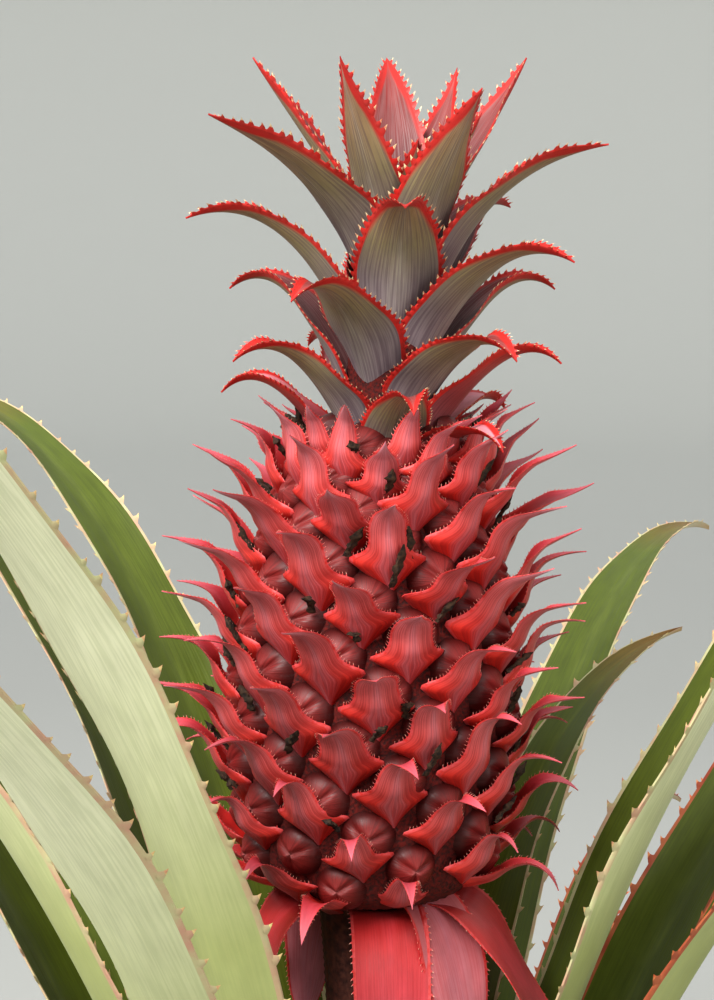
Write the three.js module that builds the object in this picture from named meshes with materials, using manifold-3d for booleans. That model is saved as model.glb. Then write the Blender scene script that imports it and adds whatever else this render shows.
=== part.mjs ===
// Red pineapple plant: a spiny rosette on a short stem, a stalk with drooping bracts, and on it a fruit
// with a crown of leaves. Millimetres, +Z up, origin on the ground at the middle of the stem's flat cut.
// Crown leaves, fruitlets and stalk bracts share one golden-angle spiral, counted downwards from the
// fruitlet in the middle of the front. Azimuths are in degrees from -Y towards +X, so that 0 is the front.
import * as THREE from "three";
import { mergeVertices } from "three/addons/utils/BufferGeometryUtils.js";
import Module from "manifold-3d";

const wasm = await Module();
wasm.setup();

// Driving dimensions
const GOLDEN = 137.508; // degrees from one organ to the next
const FRONT_AZIMUTH = 2; // azimuth of the fruitlet in the middle of the front
const CLEAR = 0.3; // gap between pieces that touch
const STEM_TOP = 225; // height where the rosette ends and the stalk begins
const STALK_RADIUS = 16;
const FRUIT_FOOT = 456; // height of the lowest fruitlets
const FRUIT_BODY = 156; // from there to the foot of the crown
const FRUIT_MIDDLE = 56; // height of its widest place above the lowest fruitlets
const AXIS_SHIFTS = [[FRUIT_FOOT, 0], [590, 3], [640, 8], [700, 11], [760, 12]]; // towards +X, by height
const FRUITLETS = 117;
const FIRST_FRUITLET = 41; // spiral index of the lowest fruitlet
const FIRST_CROWN_LEAF = -76; // spiral index of crown leaf 0
const LEAVES = 32;
const FIRST_LEAF_AZIMUTH = -143;
const WIDE_ARCH = 125; // a leaf that arches further than this from its chord is split at the bend
const BEND_AT = 0.46; // place of that split along the leaf

const lerp = (a, b, t) => a + (b - a) * t;
const radians = THREE.MathUtils.degToRad;
const range = (from, to) => Array.from({ length: to - from }, (_, k) => from + k);

// A repeatable number from -1 to 1 for organ i.
function scatter(i, salt) {
  const x = Math.sin(i * 12.9898 + salt * 78.233) * 43758.5453;
  return 2 * (x - Math.floor(x)) - 1;
}

// The value at t of a profile given by its knots, each [place, value].
function profile(knots, t) {
  let k = 1;
  while (k < knots.length - 1 && t > knots[k][0]) k++;
  const [[x0, y0], [x1, y1]] = [knots[k - 1], knots[k]];
  return lerp(y0, y1, THREE.MathUtils.clamp((t - x0) / (x1 - x0), 0, 1));
}

const wrapped = (angle) => THREE.MathUtils.euclideanModulo(angle + 180, 360) - 180;
const spiralAzimuth = (n) => wrapped(FRONT_AZIMUTH + GOLDEN * n);
const outward = (azimuth) => new THREE.Vector3(Math.sin(radians(azimuth)), -Math.cos(radians(azimuth)), 0);

// The plant's axis is upright to the top of the stalk and leans from there on.
const axisAt = (z) => new THREE.Vector3(profile(AXIS_SHIFTS, z), 0, z);

// A closed solid from its vertices and triangles, turned right side out.
function solidFrom(vertProperties, triangles) {
  const build = (list) =>
    new wasm.Manifold(new wasm.Mesh({ numProp: 3, vertProperties, triVerts: new Uint32Array(list) }));
  const solid = build(triangles);
  return solid.volume() > 0 ? solid : build([...triangles].reverse());
}

function solidFromGeometry(geometry) {
  const bare = geometry.toNonIndexed();
  bare.deleteAttribute("normal");
  bare.deleteAttribute("uv");
  const merged = mergeVertices(bare, 1e-4);
  return solidFrom(merged.attributes.position.array, Array.from(merged.index.array));
}

// A turned piece round the plant's axis, from an outline of [radius, height] points.
function turned(outline, segments = 18) {
  const geometry = new THREE.LatheGeometry(outline.map(([r, z]) => new THREE.Vector2(r, z)), segments);
  geometry.rotateX(Math.PI / 2);
  const position = geometry.getAttribute("position");
  for (let k = 0; k < position.count; k++)
    position.setX(k, position.getX(k) + axisAt(position.getZ(k)).x);
  return solidFromGeometry(geometry);
}

// The largest body of a solid, without the scraps that a cut leaves.
const mainBody = (solid) => solid.decompose().reduce((a, b) => (a.volume() > b.volume() ? a : b));

function cutClear(solid, others) {
  let rest = solid;
  for (const other of others) {
    const [p, q] = [rest.boundingBox(), other.boundingBox()];
    const apart = [0, 1, 2].some((k) => p.min[k] > q.max[k] || q.min[k] > p.max[k]);
    if (!apart) rest = rest.subtract(other);
  }
  return mainBody(rest);
}

// The centre line of a leaf or bract in its own upright plane. leaf.foot and leaf.tip are [radius, height],
// leaf.rise and leaf.fall its slopes there in degrees, leaf.hold how long it keeps them, as a share of
// the way from foot to tip, and leaf.sway how far the tip lies to one side.
function centreLine(leaf) {
  const [[r0, z0], [r1, z1]] = [leaf.foot, leaf.tip];
  const out = outward(leaf.azimuth);
  const side = outward(leaf.azimuth + 90);
  const point = (r, z, s) => axisAt(z).addScaledVector(out, r).addScaledVector(side, s);
  const span = Math.hypot(r1 - r0, z1 - z0);
  const [early, late] = leaf.hold.map((share) => share * span);
  const [rise, fall] = [radians(leaf.rise), radians(leaf.fall)];
  return new THREE.CubicBezierCurve3(
    point(r0, z0, 0),
    point(r0 + early * Math.cos(rise), z0 + early * Math.sin(rise), 0),
    point(r1 - late * Math.cos(fall), z1 - late * Math.sin(fall), leaf.sway * 0.6),
    point(r1, z1, leaf.sway),
  );
}

// How far a centre line arches away from the straight line between its ends.
function archOf(line) {
  const foot = line.getPointAt(0);
  const chord = line.getPointAt(1).sub(foot);
  const away = (t) => line.getPointAt(t).sub(foot).cross(chord).length() / chord.length();
  return Math.max(...range(1, 20).map((k) => away(k / 20)));
}

// The cross-section of a blade as [across, up] points: a V with sharp margins and its keel below. When it
// is swollen to make room round a blade, its margins are cut square, so that it clears them too.
function bladeSection({ half, thick, lift }, grow) {
  const [keel, floor] = [[0, -thick / 2 - grow], [0, thick / 2 + grow]];
  if (grow === 0) return [[-half, lift], keel, [half, lift], floor];
  const margin = (sign, up) => [sign * (half + grow), lift + up * grow];
  return [margin(-1, 1), margin(-1, -1), keel, margin(1, -1), margin(1, 1), floor];
}

const SECTION_CAPS = { 4: [[0, 3, 1], [1, 3, 2]], 6: [[0, 5, 1], [1, 5, 2], [2, 5, 3], [3, 5, 4]] };

// One leaf or bract as a closed channelled blade, between two places along it, and swollen by grow.
function blade(leaf, grow = 0, from = 0, to = 1) {
  const line = centreLine(leaf);
  const side = outward(leaf.azimuth + 90);
  const inner = leaf.stations.filter((t) => t > from + 0.02 && t < to - 0.02);
  const stations = to === 1 ? [from, ...inner] : [from, ...inner, to];
  const points = [];
  for (const t of stations) {
    const tangent = line.getTangentAt(t);
    const across = side.clone().addScaledVector(tangent, -side.dot(tangent)).normalize();
    const normal = tangent.clone().cross(across);
    for (const direction of [across, normal]) direction.applyAxisAngle(tangent, radians(leaf.twist * t));
    const at = line.getPointAt(t);
    for (const [x, y] of bladeSection(leaf.section(t), grow))
      points.push(at.clone().addScaledVector(across, x).addScaledVector(normal, y));
  }
  const sides = points.length / stations.length;
  const faces = [...SECTION_CAPS[sides]];
  for (let k = 0; k < points.length - sides; k++) {
    const beside = k % sides === sides - 1 ? k + 1 - sides : k + 1;
    faces.push([k, beside, beside + sides], [k, beside + sides, k + sides]);
  }
  const last = points.length - sides;
  if (to === 1) {
    const tip = points.push(line.getPointAt(1).addScaledVector(line.getTangentAt(1), grow)) - 1;
    for (let j = 0; j < sides; j++) faces.push([last + j, last + ((j + 1) % sides), tip]);
  } else for (const corners of SECTION_CAPS[sides]) faces.push(corners.map((j) => last + j).reverse());
  return solidFrom(new Float32Array(points.flatMap((p) => p.toArray())), faces.flat());
}

// Stem: a short stout trunk with a flat cut on the ground
const STEM_OUTLINE = [[39, 0], [33, 14], [34, 60], [33, 110], [29, 160], [24, 200], [20, STEM_TOP]];

function stemSolid(grow = 0) {
  const wall = STEM_OUTLINE.map(([r, z]) => [r + grow, z]);
  return turned([[0, 0], ...wall, [0, STEM_TOP]]);
}

// Stalk: from the stem to just under the fruit
function stalkSolid(grow = 0) {
  const [foot, head] = [STEM_TOP + CLEAR - grow, FRUIT_FOOT - 10 - CLEAR + grow];
  const r = STALK_RADIUS + grow;
  const wall = [[r + 1, foot], [r - 1.5, 290], [r - 1, 380], [r + 1, 420], [r + 3, head]];
  return turned([[0, foot], ...wall, [0, head]]);
}

// Fruit: a core of this radius at height h above the lowest fruitlets, studded with one bract to each
// fruitlet. The core's surface runs half way between the fruitlets' eyes and the grooves round them.
const coreRadius = (h) => 54 - 14 * ((h - FRUIT_MIDDLE) / 84) ** 2;
const fruitletHeight = (k) => 1.51 * k - 0.016 * Math.max(0, k - 81) ** 2;

// How far a fruit bract climbs and the slope of its tip, from the lowest fruitlet (0) to the highest (1)
const BRACT_CLIMBS = [[0, 8], [0.1, 22], [0.2, 30], [0.7, 33], [0.85, 30], [1, 20]];
const BRACT_FALLS = [[0, -60], [0.1, -22], [0.25, 2], [0.5, 14], [0.7, 26], [0.85, 38]];

function fruitBract(k) {
  const t = k / (FRUITLETS - 1);
  const h = fruitletHeight(k);
  const r = coreRadius(h);
  const size = profile([[0, 0.9], [0.12, 1], [0.75, 1], [1, 0.72]], t);
  const reach = size * (28 + 5 * scatter(k, 1)) * profile([[0.72, 1], [0.8, 0.62], [1, 0.45]], t);
  const climb = profile(BRACT_CLIMBS, t) + 4 * scatter(k, 2);
  const drop = profile([[0, 5], [0.08, 0]], t);
  return {
    azimuth: spiralAzimuth(FIRST_FRUITLET - k),
    foot: [r - 5, FRUIT_FOOT + h - drop],
    tip: [r + reach, FRUIT_FOOT + h + climb],
    rise: profile([[0, 60], [0.15, 74], [1, 82]], t),
    fall: profile(BRACT_FALLS, t) + 14 * scatter(k, 3),
    hold: [0.55, 0.4],
    sway: -2 + 5 * scatter(k, 4),
    twist: 18 * scatter(k, 5),
    stations: [0, 0.33, 0.66],
    section: (s) => ({
      half: size * profile([[0, 4], [0.33, 12], [0.66, 6.5], [1, 0]], s),
      thick: size * profile([[0, 4.5], [0.4, 3.2], [1, 0.8]], s),
      lift: size * profile([[0, 6], [0.3, 5.5], [1, 0]], s),
    }),
  };
}

function fruitCore(grow) {
  const wall = [4, 35, 70, 107, 142].map((h) => [coreRadius(h) + grow, FRUIT_FOOT + h]);
  const [foot, head] = [FRUIT_FOOT - 10 - grow, FRUIT_FOOT + FRUIT_BODY];
  const base = [[0, foot], [STALK_RADIUS + 4 + grow, foot], [38 + grow, FRUIT_FOOT - 4]];
  return turned([...base, ...wall, [20, head], [0, head]]);
}

function fruitSolid(grow = 0, count = FRUITLETS) {
  const bracts = range(0, count).map((k) => blade(fruitBract(k), grow));
  return wasm.Manifold.union([fruitCore(grow), ...bracts]);
}

// Crown: leaves on a short tapering stem. Some leaves of the real crown stand off the smooth rule:
// their turn from the spiral in degrees, reach from the axis and climb from foot to tip.
const CROWN_LEAVES = [-3, 28]; // from and up to, below and above crown leaf 0
const CROWN_GROUPS = [["crown_upper_leaves", 17], ["crown_middle_leaves", 7], ["crown_lower_leaves", -3]];
const CROWN_ODD = {
  "-2": [0, 62, 32],
  0: [16, 60, 28],
  1: [0, 58, 40],
  2: [0, 62, 34],
  3: [0, 64, 32],
  5: [12, 70, 26],
  6: [0, 68, 43],
  7: [0, 63, 39],
  8: [-3, 68, 34],
  10: [0, 72, 39],
  11: [0, 77, 50],
  12: [0, 70, 50],
  13: [-3, 62, 46],
  14: [0, 34, 45],
  15: [-2, 74, 62],
  16: [0, 86, 67],
  17: [12, 54, 90],
  18: [-3, 48, 70],
  19: [6, 54, 82],
  20: [0, 54, 82],
  21: [-12, 46, 76],
  25: [0, 48, 72],
};
const CROWN_FEET = [[-4, 145], [0, 149], [5, 169], [8, 181], [13, 200], [18, 216], [28, 231]];
const crownFoot = (m) => FRUIT_FOOT + profile(CROWN_FEET, m);
const crownStemRadius = (m) => profile([[-4, 15], [4, 17], [13, 16], [20, 12], [28, 8]], m);

function crownLeaf(m) {
  const reach = profile([[-4, 58], [3, 60], [8, 66], [13, 72], [18, 56], [21, 46], [24, 22], [28, 18]], m);
  const climb = profile([[-4, 14], [0, 24], [8, 34], [13, 46], [16, 60], [21, 76], [24, 46], [28, 38]], m);
  const [turn, ownReach, ownClimb] = CROWN_ODD[m] ?? [0, reach, climb];
  const width = profile([[-4, 11], [3, 13], [13, 15.5], [18, 14.5], [22, 10], [28, 8]], m);
  const foot = crownFoot(m);
  return {
    azimuth: spiralAzimuth(FIRST_CROWN_LEAF - m) + turn,
    foot: [crownStemRadius(m) - 3, foot],
    tip: [ownReach, foot + ownClimb],
    rise: profile([[-4, 56], [3, 62], [8, 68], [13, 72], [18, 78], [28, 82]], m),
    fall: profile([[-4, -50], [3, -40], [8, -36], [13, -12], [16, 20], [18, 52], [21, 66], [28, 70]], m),
    hold: [0.4, 0.4],
    sway: 0,
    twist: 0,
    stations: [0, 0.18, 0.38, 0.6, 0.82],
    section: (s) => ({
      half: width * profile([[0, 0.7], [0.3, 1], [0.54, 0.8], [0.72, 0.52], [0.88, 0.24], [1, 0]], s),
      thick: profile([[0, 3.6], [0.5, 2.4], [1, 0.8]], s),
      lift: width * profile([[0, 0.6], [0.3, 0.65], [0.8, 0.5], [1, 0]], s),
    }),
  };
}

function crownGroup(from, to, grow = 0) {
  const [low, high] = [crownFoot(from) - 4, crownFoot(to) - 4 - CLEAR].map((z, k) => z + (k ? grow : -grow));
  const [wide, slim] = [crownStemRadius(from) + grow, crownStemRadius(to) + grow];
  const core = turned([[0, low], [wide, low], [slim, high], [0, high]], 14);
  return wasm.Manifold.union([core, ...range(from, to).map((m) => blade(crownLeaf(m), grow))]);
}

// Stalk bracts, broad straps that arch over and hang down: their turn from the spiral in degrees, how far
// their foot lies under the fruit's, their reach and drop from foot to tip, and the slope of their tip
const STRAPS = [
  [-4, 19, 56, 74, -84],
  [0, 20, 52, 66, -84],
  [0, 20, 56, 74, -84],
  [0, 22, 86, 58, -58],
  [0, 22, 50, 62, -84],
  [0, 64, 50, 56, -84],
  [0, 27, 52, 62, -84],
  [0, 74, 48, 50, -84],
  [6, 16, 54, 76, -84],
];

function stalkBract(m) {
  const [turn, below, reach, drop, fall] = STRAPS[m];
  const height = FRUIT_FOOT - below;
  return {
    azimuth: spiralAzimuth(FIRST_FRUITLET + 1 + m) + turn,
    foot: [STALK_RADIUS - 3, height],
    tip: [reach, height - drop],
    rise: 50,
    fall,
    hold: [0.42, 0.72],
    sway: 6 * scatter(m, 7),
    twist: 8 * scatter(m, 8),
    stations: [0, 0.14, 0.28, 0.42, 0.58, 0.78],
    section: (s) => ({
      half: profile([[0, 10], [0.14, 13], [0.6, 12.5], [0.86, 6], [1, 0]], s),
      thick: profile([[0, 2.6], [0.6, 2.2], [1, 0.8]], s),
      lift: profile([[0, 5], [0.3, 2], [1, 0]], s),
    }),
  };
}

// Rosette leaves, from the innermost (0) to the lowest. In front they lie lower and leave the fruit free,
// and behind it they arch over below the crown.
const OPEN_AZIMUTH = 5;
const OPEN_WIDTH = 20;
const OPEN_TOPS = [390, 300]; // heights of the innermost and the lowest leaf's tip there
const BACK_WIDTH = 50;
const BACK_TOPS = [480, 330];
const LEAF_HALF_WIDTH = 20;
const LEAF_FOOT_RADIUS = 18; // the leaves' feet start inside the stem and are cut clear of it
// Leaves that stand off the rule: their turn from the spiral in degrees, or their reach, top, fall and rise
const LEAVES_TURNED = { 2: 6, 4: 25, 6: 2, 14: -9 };
const LEAVES_ODD = { 0: [360, 612, -8, 84] };
const LEAF_REACHES = [
  [0, 180], [0.065, 200], [0.097, 260], [0.13, 300], [0.2, 400], [0.5, 560], [0.8, 640], [1, 560],
];
const LEAF_TOPS = [[0, 540], [0.065, 560], [0.097, 570], [0.13, 770], [0.5, 720], [0.8, 520], [1, 250]];
const LEAF_RISES = [[0, 75], [0.13, 76], [0.2, 79], [0.5, 74], [1, 50]];
const LEAF_FALLS = [[0, 40], [0.097, 20], [0.13, 46], [0.2, 20], [0.5, 8], [0.8, -20], [1, -20]];

// How near an azimuth is to the one given: 1 there, less than 0.4 at this width from it.
const nearness = (azimuth, place, width) => Math.exp(-((wrapped(azimuth - place) / width) ** 2));

function rosetteLeaf(i) {
  const t = i / (LEAVES - 1);
  const azimuth = wrapped(FIRST_LEAF_AZIMUTH + GOLDEN * i + (LEAVES_TURNED[i] ?? 0));
  const open = nearness(azimuth, OPEN_AZIMUTH, OPEN_WIDTH);
  const back = nearness(azimuth, 180, BACK_WIDTH);
  const height = profile([[0, 212], [0.5, 112], [1, 18]], t);
  const reach = profile(LEAF_REACHES, t) * (1 + 0.2 * open * (1 - t));
  const top = lerp(lerp(profile(LEAF_TOPS, t), lerp(...OPEN_TOPS, t), open), lerp(...BACK_TOPS, t), back);
  const fall = lerp(lerp(profile(LEAF_FALLS, t), -10, open), -25, back);
  const rise = profile(LEAF_RISES, t) - 24 * open;
  const [ownReach, ownTop, ownFall, ownRise] = LEAVES_ODD[i] ?? [reach, top, fall, rise];
  const tip = [ownReach, ownTop];
  const length = 1.08 * Math.hypot(tip[0] - LEAF_FOOT_RADIUS, tip[1] - height);
  const width = LEAF_HALF_WIDTH * profile([[0, 0.88], [0.032, 0.68], [0.12, 0.85], [0.2, 1], [1, 0.95]], t);
  return {
    azimuth,
    foot: [LEAF_FOOT_RADIUS, height],
    tip,
    rise: ownRise,
    fall: ownFall,
    hold: [0.4, 0.4],
    sway: 40 * scatter(i, 9),
    twist: 14 * scatter(i, 10),
    stations: [0, 0.08, 0.18, 0.3, 0.44, 0.58, 0.72, 0.86],
    section: (s) => ({
      half: width * profile([[0, 0.62], [0.12, 0.85], [0.3, 1], [0.6, 0.86], [0.8, 0.56], [1, 0]], s),
      thick: (length / 100) * profile([[0, 1.02], [0.75, 1.02], [1, 0.3]], s),
      lift: width * profile([[0, 0.55], [0.3, 0.42], [1, 0.1]], s),
    }),
  };
}

const materials = {
  leaf: new THREE.MeshStandardMaterial({ color: 0x7f9a5b, roughness: 0.55, metalness: 0 }),
  crown: new THREE.MeshStandardMaterial({ color: 0x8a7f74, roughness: 0.6, metalness: 0 }),
  bract: new THREE.MeshStandardMaterial({ color: 0xd8404c, roughness: 0.5, metalness: 0 }),
  fruit: new THREE.MeshStandardMaterial({ color: 0xb8322e, roughness: 0.5, metalness: 0 }),
  stem: new THREE.MeshStandardMaterial({ color: 0x6b4c44, roughness: 0.8, metalness: 0 }),
};

const plant = new THREE.Group();

function addNode(name, solid, material) {
  const { vertProperties, triVerts } = solid.getMesh();
  const geometry = new THREE.BufferGeometry();
  geometry.setAttribute("position", new THREE.BufferAttribute(vertProperties, 3));
  geometry.setIndex(new THREE.BufferAttribute(triVerts, 1));
  geometry.computeVertexNormals();
  const mesh = new THREE.Mesh(geometry, material);
  mesh.name = name;
  plant.add(mesh);
}

addNode("stem", stemSolid(), materials.stem);
addNode("stalk", stalkSolid(), materials.stem);

// The crown is made from the top down, each group clear of the ones inside it, and the fruit clear of it.
const crownRoom = [];
let groupTop = CROWN_LEAVES[1];
for (const [name, from] of CROWN_GROUPS) {
  addNode(name, cutClear(crownGroup(from, groupTop), crownRoom), materials.crown);
  crownRoom.push(crownGroup(from, groupTop, CLEAR));
  groupTop = from;
}
addNode("fruit", cutClear(fruitSolid(), crownRoom), materials.fruit);

// Each bract and each leaf gives way to what lies inside it. Only the lowest fruitlets come near them.
const LOW_FRUITLETS = 24;
const taken = [stemSolid(CLEAR), stalkSolid(CLEAR), fruitSolid(CLEAR, LOW_FRUITLETS)];
for (const m of range(0, STRAPS.length)) {
  addNode("stalk_bract_" + (m + 1), cutClear(blade(stalkBract(m)), taken), materials.bract);
  taken.push(blade(stalkBract(m), CLEAR));
}
for (const i of range(0, LEAVES)) {
  const leaf = rosetteLeaf(i);
  const name = "leaf_" + String(i + 1).padStart(2, "0");
  const line = centreLine(leaf);
  if (archOf(line) < WIDE_ARCH) addNode(name, cutClear(blade(leaf), taken), materials.leaf);
  else {
    const gap = CLEAR / line.getLength();
    addNode(name + "_lower", cutClear(blade(leaf, 0, 0, BEND_AT - gap), taken), materials.leaf);
    addNode(name + "_upper", cutClear(blade(leaf, 0, BEND_AT, 1), taken), materials.leaf);
  }
  taken.push(blade(leaf, CLEAR));
}

export default plant;
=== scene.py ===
import math

import bpy
import numpy as np
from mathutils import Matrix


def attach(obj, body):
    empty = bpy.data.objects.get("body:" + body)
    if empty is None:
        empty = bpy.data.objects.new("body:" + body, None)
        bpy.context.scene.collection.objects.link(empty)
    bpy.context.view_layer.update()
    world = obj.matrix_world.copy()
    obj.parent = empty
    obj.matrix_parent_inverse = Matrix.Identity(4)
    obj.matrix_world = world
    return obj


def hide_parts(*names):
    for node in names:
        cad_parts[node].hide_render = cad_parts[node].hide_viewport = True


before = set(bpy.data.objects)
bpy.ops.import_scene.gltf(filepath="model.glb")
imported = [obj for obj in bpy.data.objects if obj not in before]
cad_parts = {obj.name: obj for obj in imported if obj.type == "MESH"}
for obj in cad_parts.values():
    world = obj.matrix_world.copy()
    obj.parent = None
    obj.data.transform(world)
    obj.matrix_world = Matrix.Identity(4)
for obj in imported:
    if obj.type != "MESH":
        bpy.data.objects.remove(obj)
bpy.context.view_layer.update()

MM = 0.001

# Driving dimensions, as in the part's source
GOLDEN = 137.508
FRONT_AZIMUTH = 2
STEM_TOP = 225
STALK_RADIUS = 16
FRUIT_FOOT = 456
FRUIT_BODY = 156
FRUIT_MIDDLE = 56
AXIS_SHIFTS = [(FRUIT_FOOT, 0), (590, 3), (640, 8), (700, 11), (760, 12)]
FRUITLETS = 117
FIRST_FRUITLET = 41
FIRST_CROWN_LEAF = -76
CROWN_LEAVES = (-3, 28)
LEAVES = 32
FIRST_LEAF_AZIMUTH = -143


def scatter(i, salt):
    """A repeatable number from -1 to 1 for organ i."""
    x = math.sin(i * 12.9898 + salt * 78.233) * 43758.5453
    return 2 * (x - math.floor(x)) - 1


def profile(knots, t):
    """The value at t, a number or an array, of a profile given by its knots, each (place, value)."""
    places, values = zip(*knots)
    return np.interp(t, places, values)


def smooth(knots, scale=1):
    """A function that runs smoothly through the knots of a profile."""
    x, y = (np.array(part, float) for part in zip(*knots))
    slope = np.gradient(y, x)

    def value(t):
        k = np.clip(np.searchsorted(x, t, side="right") - 1, 0, len(x) - 2)
        step = x[k + 1] - x[k]
        u = (t - x[k]) / step
        ends = (2 * u**3 - 3 * u**2 + 1) * y[k] + (3 * u**2 - 2 * u**3) * y[k + 1]
        slopes = (u**3 - 2 * u**2 + u) * slope[k] + (u**3 - u**2) * slope[k + 1]
        return scale * np.maximum(ends + step * slopes, 0)

    return value


def none(s):
    """A profile that is 0 all along."""
    return 0 * s


def wrapped(angle):
    return (angle + 180) % 360 - 180


def mixed(a, b, share):
    return a + (b - a) * share


def tint_of(i, salt):
    return 0.5 + 0.5 * scatter(i, salt)


def spiral_azimuth(n):
    return wrapped(FRONT_AZIMUTH + GOLDEN * n)


def outward(azimuth):
    return np.array([math.sin(math.radians(azimuth)), -math.cos(math.radians(azimuth)), 0.0])


def axis_at(z):
    return np.array([profile(AXIS_SHIFTS, z), 0.0, z])


def unit(v):
    return v / np.linalg.norm(v, axis=-1, keepdims=True)


class Line:
    """The centre line of a leaf or bract: a cubic curve measured by its arc length."""

    STEPS = 200

    def __init__(self, leaf):
        (r0, z0), (r1, z1) = leaf["foot"], leaf["tip"]
        out = outward(leaf["azimuth"])
        self.side = outward(leaf["azimuth"] + 90)
        self.twist = math.radians(leaf["twist"])
        span = math.hypot(r1 - r0, z1 - z0)
        early, late = (share * span for share in leaf["hold"])
        rise, fall = math.radians(leaf["rise"]), math.radians(leaf["fall"])

        def point(r, z, s):
            return axis_at(z) + r * out + s * self.side

        self.controls = np.array([
            point(r0, z0, 0),
            point(r0 + early * math.cos(rise), z0 + early * math.sin(rise), 0),
            point(r1 - late * math.cos(fall), z1 - late * math.sin(fall), leaf["sway"] * 0.6),
            point(r1, z1, leaf["sway"]),
        ])
        u = np.linspace(0, 1, self.STEPS + 1)
        steps = np.linalg.norm(np.diff(self.at(u), axis=0), axis=1)
        self.lengths = np.concatenate([[0], np.cumsum(steps)])
        self.length = self.lengths[-1]

    def at(self, u):
        w, p = np.asarray(u)[..., None], self.controls
        return (1 - w) ** 3 * p[0] + 3 * (1 - w) ** 2 * w * p[1] + 3 * (1 - w) * w**2 * p[2] + w**3 * p[3]

    def frames(self, s):
        """Points, tangents, directions across and normals at shares s of the length."""
        u = np.interp(np.asarray(s) * self.length, self.lengths, np.linspace(0, 1, self.STEPS + 1))
        p, w = np.diff(self.controls, axis=0), u[:, None]
        tangent = unit((1 - w) ** 2 * p[0] + 2 * (1 - w) * w * p[1] + w**2 * p[2])
        across = unit(self.side - tangent * (tangent @ self.side)[:, None])
        normal = np.cross(tangent, across)
        turn = (self.twist * np.asarray(s))[:, None]
        turned_across = across * np.cos(turn) + normal * np.sin(turn)
        turned_normal = normal * np.cos(turn) - across * np.sin(turn)
        return self.at(u), tangent, turned_across, turned_normal


def grid_faces(rows, columns, closed):
    """Quads between neighbouring rows of points; closed joins the last column to the first."""
    places = columns if closed else columns - 1
    row, column = np.meshgrid(np.arange(rows - 1), np.arange(places), indexing="ij")
    after = (column + 1) % columns
    here, above = row * columns, (row + 1) * columns
    return np.stack([here + column, here + after, above + after, above + column], -1).reshape(-1, 4)


class Skin:
    """Gathers points, faces, their material numbers and their map coordinates for one piece."""

    def __init__(self):
        self.points, self.faces, self.slots, self.blade, self.grain, self.tint = [], [], [], [], [], []
        self.count = 0

    def add(self, points, faces, slots, blade, grain, tint):
        """blade and grain hold a pair for each point, slots a number for each face."""
        self.points.append(points)
        self.faces.append(np.where(faces < 0, -1, faces + self.count))
        self.slots.append(np.broadcast_to(slots, len(faces)))
        self.blade.append(blade)
        self.grain.append(grain)
        self.tint.append(np.full(len(points), tint))
        self.count += len(points)

    def piece(self, name, materials, replaced, slot, sharp=50):
        """The gathered mesh as a piece of the plant. Faces that end in -1 are triangles."""
        points = np.concatenate(self.points) * MM
        faces = np.concatenate(self.faces)
        corners = faces[faces >= 0]
        starts = np.concatenate([[0], np.cumsum(np.where(faces[:, 3] < 0, 3, 4))[:-1]])
        mesh = bpy.data.meshes.new(name)
        mesh.vertices.add(len(points))
        mesh.vertices.foreach_set("co", points.ravel())
        mesh.loops.add(len(corners))
        mesh.loops.foreach_set("vertex_index", corners.astype(np.int32))
        mesh.polygons.add(len(faces))
        mesh.polygons.foreach_set("loop_start", starts.astype(np.int32))
        mesh.update(calc_edges=True)
        for material in materials:
            mesh.materials.append(material)
        mesh.polygons.foreach_set("material_index", np.concatenate(self.slots).astype(np.int32))
        for layer, values in (("blade", self.blade), ("grain", self.grain)):
            uv = mesh.uv_layers.new(name=layer)
            uv.uv.foreach_set("vector", np.concatenate(values)[corners].ravel().astype(np.float32))
        tint = mesh.attributes.new("tint", "FLOAT", "POINT")
        tint.data.foreach_set("value", np.concatenate(self.tint).astype(np.float32))
        mesh.set_sharp_from_angle(angle=math.radians(sharp))
        made = bpy.data.objects.new(name, mesh)
        bpy.context.scene.collection.objects.link(made)
        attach(made, "root")
        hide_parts(*replaced)


# Numbers of a blade's four materials
OUTER, INNER, MARGIN, TOOTH_TIP = range(4)
BLADE_END = 0.999  # where a blade's last row lies, just short of its point
MARGIN_THINNING = 0.75  # share of its thickness that a blade loses at its margins


def blade_surface(leaf, line, s, x):
    """Middle surface of a blade at shares s along and x from -1 to 1 across, and its normals."""
    at, _, across, normal = line.frames(s)
    half, lift = (leaf[key](s)[:, None] for key in ("half", "lift"))
    at = at + across * (leaf.get("skew", 0) * np.sin(math.pi * np.asarray(s)))[:, None]
    ripple = np.sin(2 * math.pi * (s * leaf["waves"] + leaf["tint"]))[:, None]
    rise = lift * np.abs(x) ** leaf["round"] + leaf["wave"] * ripple * x**3 * half / half.max()
    rise = rise - leaf["belly"](s)[:, None]
    return at[:, None] + across[:, None] * (half * x)[..., None] + normal[:, None] * rise[..., None], normal


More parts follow.
